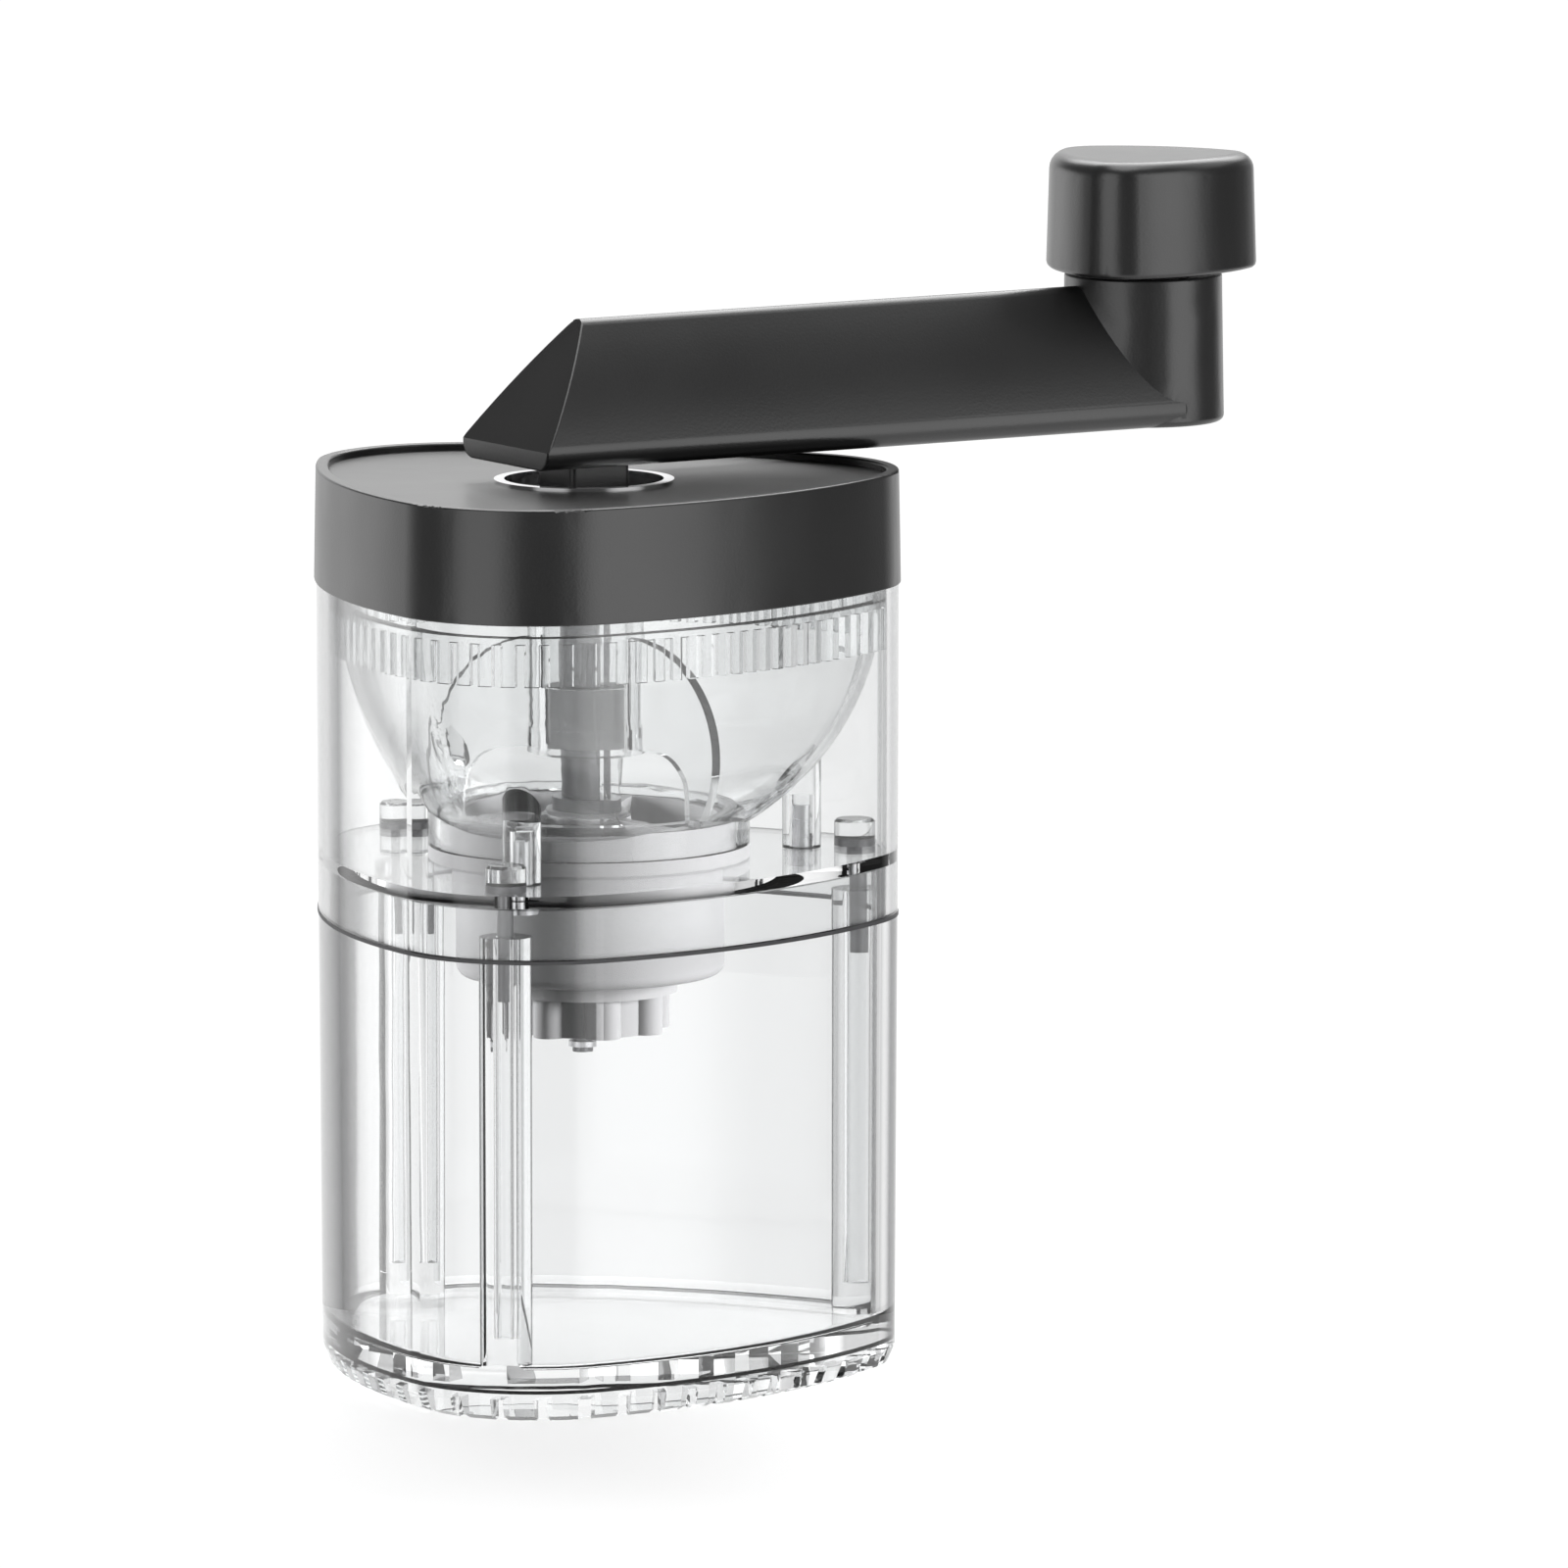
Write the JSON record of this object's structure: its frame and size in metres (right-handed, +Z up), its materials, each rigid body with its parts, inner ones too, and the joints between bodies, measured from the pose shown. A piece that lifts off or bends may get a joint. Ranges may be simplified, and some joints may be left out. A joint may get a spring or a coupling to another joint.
{
  "type": "manual coffee grinder",
  "caption": "Hand-cranked burr coffee grinder with a clear rounded-triangle body, a black lid and crank arm, an adjusting nut under the burrs and a lift-off catch jar.",
  "frame": {"origin": "centre of the flat underside, on the axis of the shaft", "axes": "+Z up along the shaft, +X towards the body corner on the crank's side, +Y to the left of it"},
  "size_m": [0.1504, 0.0896, 0.1776],
  "materials": {
    "clear_plastic": "clear moulded plastic, glossy",
    "black_plastic": "satin black moulded plastic",
    "grey_plastic": "mid-grey moulded plastic",
    "steel": "turned stainless steel",
    "polished_ring": "polished",
    "ceramic": "off-white fired ceramic",
    "seal": "dark silicone",
    "plain_washer": "smooth plastic"
  },
  "bodies": {
    "jar": {"jar": "clear_plastic", "foot_ring": "clear_plastic", "jar_gasket": "seal"},
    "housing": {"upper_shell": "clear_plastic", "rib_ring": "clear_plastic", "hopper_bowl": "clear_plastic", "lid_seal": "seal", "bearing_bridge": "clear_plastic", "upper_bushing": "grey_plastic", "burr_carrier": "grey_plastic", "lower_bushing": "grey_plastic", "outer_burr": "ceramic", "hopper_screws": "steel", "locating_pins": "steel"},
    "lid": {"lid": "black_plastic", "lid_ring": "polished_ring"},
    "spindle": {"shaft": "steel", "spring_washer": "steel", "burr_spring": "steel", "end_clip": "steel"},
    "burr": {"inner_burr": "ceramic", "burr_seat": "grey_plastic"},
    "nut": {"adjusting_nut": "grey_plastic"},
    "crank": {"crank_arm": "black_plastic", "drive_socket": "black_plastic", "knob_axle": "steel", "knob_washer": "plain_washer"},
    "knob": {"knob": "black_plastic"}
  },
  "joints": [
    {"name": "housing_lift", "type": "slide", "parent": "jar", "child": "housing", "axis": [0, 0, 1], "range_m": [0, 0.06]},
    {"name": "crank_spin", "type": "hinge", "parent": "housing", "child": "spindle", "pos_m": [0, 0, 0.09], "axis": [0, 0, 1], "continuous": true},
    {"name": "crank_lift", "type": "slide", "parent": "spindle", "child": "crank", "axis": [0, 0, 1], "range_m": [0, 0.12]},
    {"name": "lid_lift", "type": "slide", "parent": "housing", "child": "lid", "axis": [0, 0, 1], "range_m": [0, 0.06]},
    {"name": "knob_spin", "type": "hinge", "parent": "crank", "child": "knob", "pos_m": [0.09426, 0.02893, 0.165], "axis": [0, 0, 1], "continuous": true},
    {"name": "burr_feed", "type": "slide", "parent": "spindle", "child": "burr", "axis": [0, 0, 1], "range_m": [-0.001, 0.00033], "deforming": ["burr_spring"]},
    {"name": "nut_turn", "type": "hinge", "parent": "burr", "child": "nut", "pos_m": [0, 0, 0.055], "axis": [0, 0, 1], "range_deg": [-366, 126]}
  ],
  "couplings": [
    {"joint": "lid_lift", "follows": "crank_lift", "ratio": 0.5},
    {"joint": "nut_turn", "follows": "burr_feed", "rad_per_m": 6283.2}
  ]
}
